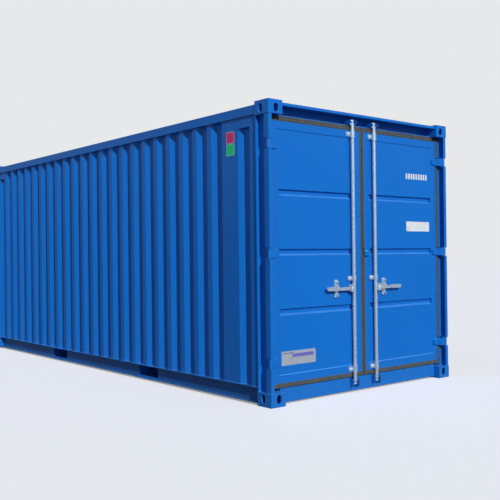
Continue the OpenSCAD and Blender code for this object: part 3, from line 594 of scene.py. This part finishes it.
def put_bolt(maker, place, normal, scale=1.0):
    """Washer and six-sided head with a chamfered top, turned at random."""
    normal = Vector(normal)
    turn = random.uniform(0.0, math.pi / 3)
    put_disc(maker, place, normal, WASHER_RADIUS * scale, WASHER_THICK * scale, 20)
    top = Vector(place) + normal * WASHER_THICK * scale
    radius = BOLT_FLATS * scale / math.sqrt(3)
    body = BOLT_STRAIGHT * BOLT_HEIGHT * scale
    put_disc(maker, top, normal, radius, body, 6, turn)
    chamfer = (1 - BOLT_STRAIGHT) * BOLT_HEIGHT * scale
    move = Matrix.Translation(top + normal * (body + chamfer / 2)) @ turned(normal)
    bmesh.ops.create_cone(maker, cap_ends=True, segments=6, radius1=radius, radius2=BOLT_TOP * radius,
                          depth=chamfer, matrix=move @ Matrix.Rotation(turn, 4, "Z"))


def put_dome(maker, place, normal, radius, height):
    """Rivet head."""
    rings = 4
    steps = 16
    turn = Matrix.Translation(Vector(place)) @ turned(normal)
    loops = []
    for ring in range(rings):
        angle = ring / rings * math.pi / 2
        loops.append([
            maker.verts.new(turn @ Vector((
                radius * math.cos(angle) * math.cos(2 * math.pi * k / steps),
                radius * math.cos(angle) * math.sin(2 * math.pi * k / steps),
                height * math.sin(angle))))
            for k in range(steps)
        ])
    tip = maker.verts.new(turn @ Vector((0, 0, height)))
    for low, high in zip(loops, loops[1:]):
        for k in range(steps):
            maker.faces.new((low[k], low[(k + 1) % steps], high[(k + 1) % steps], high[k]))
    for k in range(steps):
        maker.faces.new((loops[-1][k], loops[-1][(k + 1) % steps], tip))
    maker.faces.new(loops[0][::-1])


def put_bead(maker, points, ripple, radius=BEAD_RADIUS, swell=BEAD_SWELL, sides=6):
    """Rippled round bead along a path of points, closed at both ends."""
    path = [Vector(p) for p in points]
    rings = []
    for start, end in zip(path, path[1:]):
        along = end - start
        count = max(1, round(along.length / ripple)) * 2
        first = 0 if not rings else 1
        rings += [(start + along * k / count, along.normalized(), k % 2) for k in range(first, count + 1)]
    loops = []
    for place, direction, high in rings:
        turn = Matrix.Translation(place) @ turned(direction)
        size = radius * (1 + swell * high)
        loops.append([
            maker.verts.new(turn @ Vector((size * math.cos(2 * math.pi * k / sides),
                                           size * math.sin(2 * math.pi * k / sides), 0)))
            for k in range(sides)
        ])
    for low, high in zip(loops, loops[1:]):
        for k in range(sides):
            maker.faces.new((low[k], low[(k + 1) % sides], high[(k + 1) % sides], high[k]))
    maker.faces.new(loops[0][::-1])
    maker.faces.new(loops[-1])


def put_plate(maker, centre, across, up, width, height, thick, corner=0.0):
    """Thin plate that stands on a surface. Its corners are rounded by arcs of the given radius."""
    across, up = Vector(across).normalized(), Vector(up).normalized()
    out = across.cross(up)
    outline = []
    steps = 5 if corner else 1
    for quarter, (sx, sy) in enumerate(((1, 1), (-1, 1), (-1, -1), (1, -1))):
        for k in range(steps):
            angle = math.pi / 2 * (quarter + (k / (steps - 1) if corner else 0))
            x = sx * (width / 2 - corner) + corner * math.cos(angle)
            y = sy * (height / 2 - corner) + corner * math.sin(angle)
            outline.append(Vector(centre) + across * x + up * y)
    low = [maker.verts.new(p) for p in outline]
    high = [maker.verts.new(p + out * thick) for p in outline]
    maker.faces.new(high)
    maker.faces.new(low[::-1])
    for k in range(len(outline)):
        following = (k + 1) % len(outline)
        maker.faces.new((low[k], low[following], high[following], high[k]))


def put_prism(maker, outline, z0, z1):
    """Upright prism over an outline of x and y."""
    low = [maker.verts.new((x, y, z0)) for x, y in outline]
    high = [maker.verts.new((x, y, z1)) for x, y in outline]
    maker.faces.new(low[::-1])
    maker.faces.new(high)
    for k in range(len(outline)):
        following = (k + 1) % len(outline)
        maker.faces.new((low[k], low[following], high[following], high[k]))
    bmesh.ops.recalc_face_normals(maker, faces=maker.faces)


def landed(node, start, direction):
    """Where a ray first meets a CAD node."""
    hit, place, _, _ = frame["nodes"][node].ray_cast(Vector(start), Vector(direction))
    if not hit:
        raise ValueError(f"no surface of {node} under {tuple(start)}")
    return place


def on_leaf(side, y, z):
    """Point of a leaf's outer face."""
    return landed(f"{side}_door_leaf", (cad_box[1][0] + RAY_FROM, y, z), (-1, 0, 0))


def guide_bolts(side):
    """Two bolts through the long end of each guide's foot."""
    node = f"{side}_bar_guides"
    maker = bmesh.new()
    for low, high in solids(node):
        for y in (low.y + GUIDE_BOLT_EDGE, low.y + GUIDE_BOLT_EDGE + GUIDE_BOLT_PITCH):
            start = (high.x + RAY_FROM, y, (low.z + high.z) / 2)
            put_bolt(maker, landed(node, start, (-1, 0, 0)), OUT, GUIDE_BOLT_SCALE)
    add_piece(f"{side}_guide_bolts", maker, "bright_zinc", f"{side}_door")


def retainer_bolts(side):
    """Bolts at the top and the bottom of the retainer's plate."""
    node = f"{side}_handle_retainer"
    low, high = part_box(node)
    maker = bmesh.new()
    for z in (low.z + RETAINER_BOLT_EDGE, high.z - RETAINER_BOLT_EDGE):
        place = landed(node, (high.x + RAY_FROM, high.y - RETAINER_BOLT_IN, z), (-1, 0, 0))
        put_bolt(maker, place, OUT, RETAINER_BOLT_SCALE)
    add_piece(f"{side}_retainer_bolts", maker, "bright_zinc", f"{side}_door")


def leaf_welds(side):
    """Beads from the pressed panel's corners to the leaf's corners, and round the hinge blades."""
    g = facing(side)
    low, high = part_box(f"{side}_door_leaf")
    inner, outer = sorted((abs(low.y), abs(high.y)))
    face = high.x
    maker = bmesh.new()
    sides = ((inner + PANEL_SIDE, inner + LEAF_CORNER_SIDE), (outer - PANEL_SIDE, outer - LEAF_CORNER_SIDE))
    ends = ((low.z + PANEL_END, low.z + LEAF_CORNER_END), (high.z - PANEL_END, high.z - LEAF_CORNER_END))
    for y, edge in sides:
        for z, end in ends:
            bend = (face, g * (y + edge) / 2, (z + end) / 2 + CORNER_BEAD_BOW)
            path = [(face, g * y, z), bend, (face, g * edge, end)]
            put_bead(maker, path, LEAF_RIPPLE, CORNER_BEAD_RADIUS)
    for low_hinge, high_hinge in solids(f"{side}_door_hinges"):
        tip = min(abs(low_hinge.y), abs(high_hinge.y))
        mid = (low_hinge.z + high_hinge.z) / 2
        root = (high_hinge.z - low_hinge.z) / 2
        put_bead(maker, [(face, g * outer, mid + root), (face, g * tip, mid + BLADE_TIP_HALF),
                         (face, g * tip, mid - BLADE_TIP_HALF), (face, g * outer, mid - root)], LEAF_RIPPLE)
    add_piece(f"{side}_leaf_welds", maker, "painted_steel", f"{side}_door", True)


def seal_lips(side):
    """Two raised lips that run along each strip of the door's seal, and stop at the hinge blades."""
    g = facing(side)
    leaf_low, leaf_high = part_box(f"{side}_door_leaf")
    low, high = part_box(f"{side}_door_gasket")
    inner, outer = sorted((abs(low.y), abs(high.y)))
    leaf_inner, leaf_outer = sorted((abs(leaf_low.y), abs(leaf_high.y)))
    maker = bmesh.new()

    def put_lip(*ends):
        put_bead(maker, [(high.x, g * y, z) for y, z in ends], LIP_STEP, LIP_RADIUS, 0.0)

    for share in LIP_SHARES:
        top = leaf_high.z + (high.z - leaf_high.z) * share
        bottom = leaf_low.z + (low.z - leaf_low.z) * share
        middle = leaf_inner + (inner - leaf_inner) * share
        hinged = leaf_outer + (outer - leaf_outer) * share
        put_lip((middle, top), (hinged, top))
        put_lip((middle, bottom), (hinged, bottom))
        put_lip((middle, bottom), (middle, top))
        stops = [bottom]
        for low_hinge, high_hinge in solids(f"{side}_door_hinges"):
            stops += [low_hinge.z - LIP_STOP, high_hinge.z + LIP_STOP]
        stops.append(top)
        for start, end in zip(stops[::2], stops[1::2]):
            put_lip((hinged, start), (hinged, end))
    add_piece(f"{side}_seal_lips", maker, "seal_rubber", f"{side}_door", True)


def traced(node, start, end, direction, steps):
    """Corners of the line where a sheet of rays first meets a CAD node."""
    start, end = Vector(start), Vector(end)
    line = [landed(node, start.lerp(end, k / steps), direction) for k in range(steps + 1)]
    kept = [line[0]]
    for before, here, after in zip(line, line[1:], line[2:]):
        if ((here - before).normalized() - (after - here).normalized()).length > LEAST_BEND:
            kept.append(here)
    return kept + [line[-1]]


def side_line(node, g, z, steps):
    """Outer line of an upright node seen from its side, at one height, from the door end to the rear."""
    low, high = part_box(node)
    y = g * (cad_box[1][1] + RAY_FROM)
    return traced(node, (high.x - EDGE_IN, y, z), (low.x + EDGE_IN, y, z), (0, -g, 0), steps)


def wall_welds(side):
    """Beads where the side wall stands on the bottom rail and meets the top rail."""
    node = f"{side}_wall"
    low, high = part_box(node)
    maker = bmesh.new()
    for z, inset in ((low.z, WELD_INSET), (high.z, -WELD_INSET)):
        line = side_line(node, facing(side), z + inset, LONG_STEPS)
        put_bead(maker, [(p.x, p.y, z) for p in line], WALL_RIPPLE)
    add_piece(f"{side}_wall_welds", maker, "painted_steel", "frame", True)


def post_welds(side):
    """Beads where the door post meets its castings, round the front and the side."""
    node = f"{side}_door_post"
    g = facing(side)
    low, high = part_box(node)
    outer = max(abs(low.y), abs(high.y))
    maker = bmesh.new()
    for z, inset in ((low.z, WELD_INSET), (high.z, -WELD_INSET)):
        line = side_line(node, g, z + inset, POST_STEPS)
        front = [(high.x, g * (outer - POST_FRONT), z), (high.x, g * outer, z)]
        put_bead(maker, front + [(p.x, p.y, z) for p in line[1:]], POST_RIPPLE)
    add_piece(f"{side}_post_welds", maker, "painted_steel", "frame", True)


def lug_shelves():
    """Plates that carry each hinge lug on to the post's slanted flank."""
    maker = bmesh.new()
    for low, high in solids("hinge_lugs"):
        outer, inner = (high.y, low.y) if low.y > 0 else (low.y, high.y)
        slant = outer + math.copysign(FLANK_WIDTH, inner - outer)
        back = low.x - FLANK_DEPTH
        outline = [(low.x, outer), (back, slant), (back, inner), (low.x, inner)]
        put_prism(maker, outline, low.z, high.z)
    add_piece("hinge_lug_shelves", maker, "painted_steel", "frame")


def hinge_pockets():
    """Bent plates that close the door posts' notches behind the hinge blades, between each pair of lugs."""
    face, side = cad_box[1][0], cad_box[1][1]
    bent_back, bent_in = POCKET_BACK - POCKET_PLATE, POCKET_OUTER + POCKET_PLATE
    bend = ((POCKET_FRONT, POCKET_OUTER), (POCKET_BACK, POCKET_OUTER), (POCKET_BACK, POCKET_INNER),
            (bent_back, POCKET_INNER), (bent_back, bent_in), (POCKET_FRONT, bent_in))
    maker = bmesh.new()
    lugs = solids("hinge_lugs")
    for g in (-1, 1):
        outline = [(face - depth, g * (side - inset)) for depth, inset in bend]
        column = [box for box in lugs if g * box[0].y > 0]
        for (_, lower_top), (upper_foot, _) in zip(column[::2], column[1::2]):
            put_prism(maker, outline, lower_top.z, upper_foot.z)
    add_piece("hinge_pockets", maker, "painted_steel", "frame")


def roof_welds():
    """Beads round the roof sheet, down and up its swages along both sides."""
    low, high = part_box("roof_panel")
    above = high.z + RAY_FROM
    maker = bmesh.new()
    for y in (low.y + EDGE_IN, high.y - EDGE_IN):
        start, end = (high.x - EDGE_IN, y, above), (low.x + EDGE_IN, y, above)
        put_bead(maker, traced("roof_panel", start, end, (0, 0, -1), LONG_STEPS), ROOF_RIPPLE)
    for x in (low.x, high.x):
        put_bead(maker, [(x, low.y, high.z), (x, high.y, high.z)], ROOF_RIPPLE)
    add_piece("roof_welds", maker, "painted_steel", "frame", True)


def hub_rivets(side):
    """Heads of the handle's pivot on both cheeks of the bar's hub."""
    node = f"{side}_locking_bar"
    low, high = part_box(f"{side}_handle")
    y = facing(side) * (min(abs(low.y), abs(high.y)) + (high.z - low.z) / 2)
    z = (low.z + high.z) / 2
    maker = bmesh.new()
    for out, start in ((1, high.x + RAY_FROM), (-1, low.x - RAY_FROM)):
        place = landed(node, (start, y, z), (-out, 0, 0))
        put_dome(maker, place, (out, 0, 0), HUB_RIVET_RADIUS, HUB_RIVET_HEIGHT)
    add_piece(f"{side}_hub_rivets", maker, "bright_zinc", f"{side}_bar", True)


def middle(ends):
    return (ends[0] + ends[1]) / 2


def span(ends):
    return ends[1] - ends[0]


def put_film(maker, centre, width, height, thick, corner=0.0):
    """Film or plate that faces the door end."""
    put_plate(maker, centre, (0, 1, 0), (0, 0, 1), width, height, thick, corner)


def door_labels():
    """A bare white label, a row of plain white blocks and a bare silver plate with one violet band."""
    film = bmesh.new()
    put_film(film, on_leaf("right", middle(WHITE_LABEL_Y), middle(WHITE_LABEL_Z)),
             span(WHITE_LABEL_Y), span(WHITE_LABEL_Z), FILM, WIDE_CORNER)
    add_piece("right_door_label", film, "label_white", "right_door")
    blocks = bmesh.new()
    for k in range(BLOCK_COUNT):
        y = BLOCK_Y[0] + span(BLOCK_Y) * k / (BLOCK_COUNT - 1)
        put_film(blocks, on_leaf("right", y, middle(BLOCK_Z)), *BLOCK_SIZE, FILM, SMALL_CORNER)
    add_piece("right_door_blocks", blocks, "label_white", "right_door")
    plate = bmesh.new()
    centre = on_leaf("left", middle(PLATE_Y), middle(PLATE_Z))
    put_film(plate, centre, span(PLATE_Y), span(PLATE_Z), PLATE_THICK, SMALL_CORNER)
    across, up = PLATE_RIVET_PLACES
    for dy in (-across, across):
        for dz in (-up, up):
            place = centre + Vector((PLATE_THICK, dy, dz))
            put_dome(plate, place, OUT, PLATE_RIVET_RADIUS, PLATE_RIVET_HEIGHT)
    add_piece("left_door_plate", plate, "plate_silver", "left_door")
    band = bmesh.new()
    put_film(band, centre + Vector((PLATE_THICK, *BAND_PLACE)), *BAND_SIZE, BAND_FILM, SMALL_CORNER)
    put_film(band, centre + Vector((PLATE_THICK, *LINE_PLACE)), *LINE_SIZE, BAND_FILM)
    add_piece("left_door_plate_band", band, "plate_violet", "left_door")


def side_labels():
    """Two plain labels with pale rims on the wide flat of the left wall, red above green."""
    x = cad_box[1][0] - SIDE_LABEL_BACK
    for name, ends in (("red", RED_LABEL_Z), ("green", GREEN_LABEL_Z)):
        place = landed("left_wall", (x, cad_box[0][1] - RAY_FROM, middle(ends)), (0, 1, 0))
        rim = bmesh.new()
        put_plate(rim, place, OUT, (0, 0, 1), SIDE_LABEL_WIDTH, span(ends), FILM, SIDE_LABEL_RIM)
        add_piece(f"left_wall_{name}_rim", rim, f"rim_{name}", "frame")
        label = bmesh.new()
        width, height = SIDE_LABEL_WIDTH - 2 * SIDE_LABEL_RIM, span(ends) - 2 * SIDE_LABEL_RIM
        put_plate(label, place - Vector((0, FILM, 0)), OUT, (0, 0, 1), width, height, FILM / 2, SMALL_CORNER)
        add_piece(f"left_wall_{name}_label", label, f"label_{name}", "frame")


def tab_seal():
    """Bolt and coloured cap on the tab between the leaves."""
    low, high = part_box("right_door_tab")
    z = (low.z + high.z) / 2
    cap = bmesh.new()
    put_disc(cap, (high.x, low.y + CAP_IN, z), OUT, CAP_RADIUS, CAP_SKIRT, 24)
    put_dome(cap, (high.x + CAP_SKIRT, low.y + CAP_IN, z), OUT, CAP_RADIUS, CAP_DOME)
    add_piece("right_tab_cap", cap, "cap_teal", "right_door", True)
    bolt = bmesh.new()
    put_bolt(bolt, (high.x, high.y - TAB_BOLT_IN, z - TAB_BOLT_DROP), OUT, TAB_BOLT_SCALE)
    add_piece("right_tab_bolt", bolt, "painted_steel", "right_door")


def floor_screws():
    """Countersunk screws over each cross member."""
    low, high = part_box("floor_boards")
    maker = bmesh.new()
    for beam_low, beam_high in solids("cross_members"):
        x = (beam_low.x + beam_high.x) / 2
        for k in range(SCREW_LINES):
            y = low.y + (high.y - low.y) * (k + 0.5) / SCREW_LINES
            put_disc(maker, (x, y, high.z), (0, 0, 1), SCREW_RADIUS, SCREW_RISE, 10)
    add_piece("floor_screws", maker, "bright_zinc", "frame")


bpy.context.scene.view_settings.view_transform = "Standard"
add_camera()
add_sun()
add_sky()
add_floor()
dress_frame()
for side in SIDES:
    guide_bolts(side)
    retainer_bolts(side)
    leaf_welds(side)
    seal_lips(side)
    wall_welds(side)
    post_welds(side)
    hub_rivets(side)
lug_shelves()
hinge_pockets()
roof_welds()
door_labels()
side_labels()
tab_seal()
floor_screws()
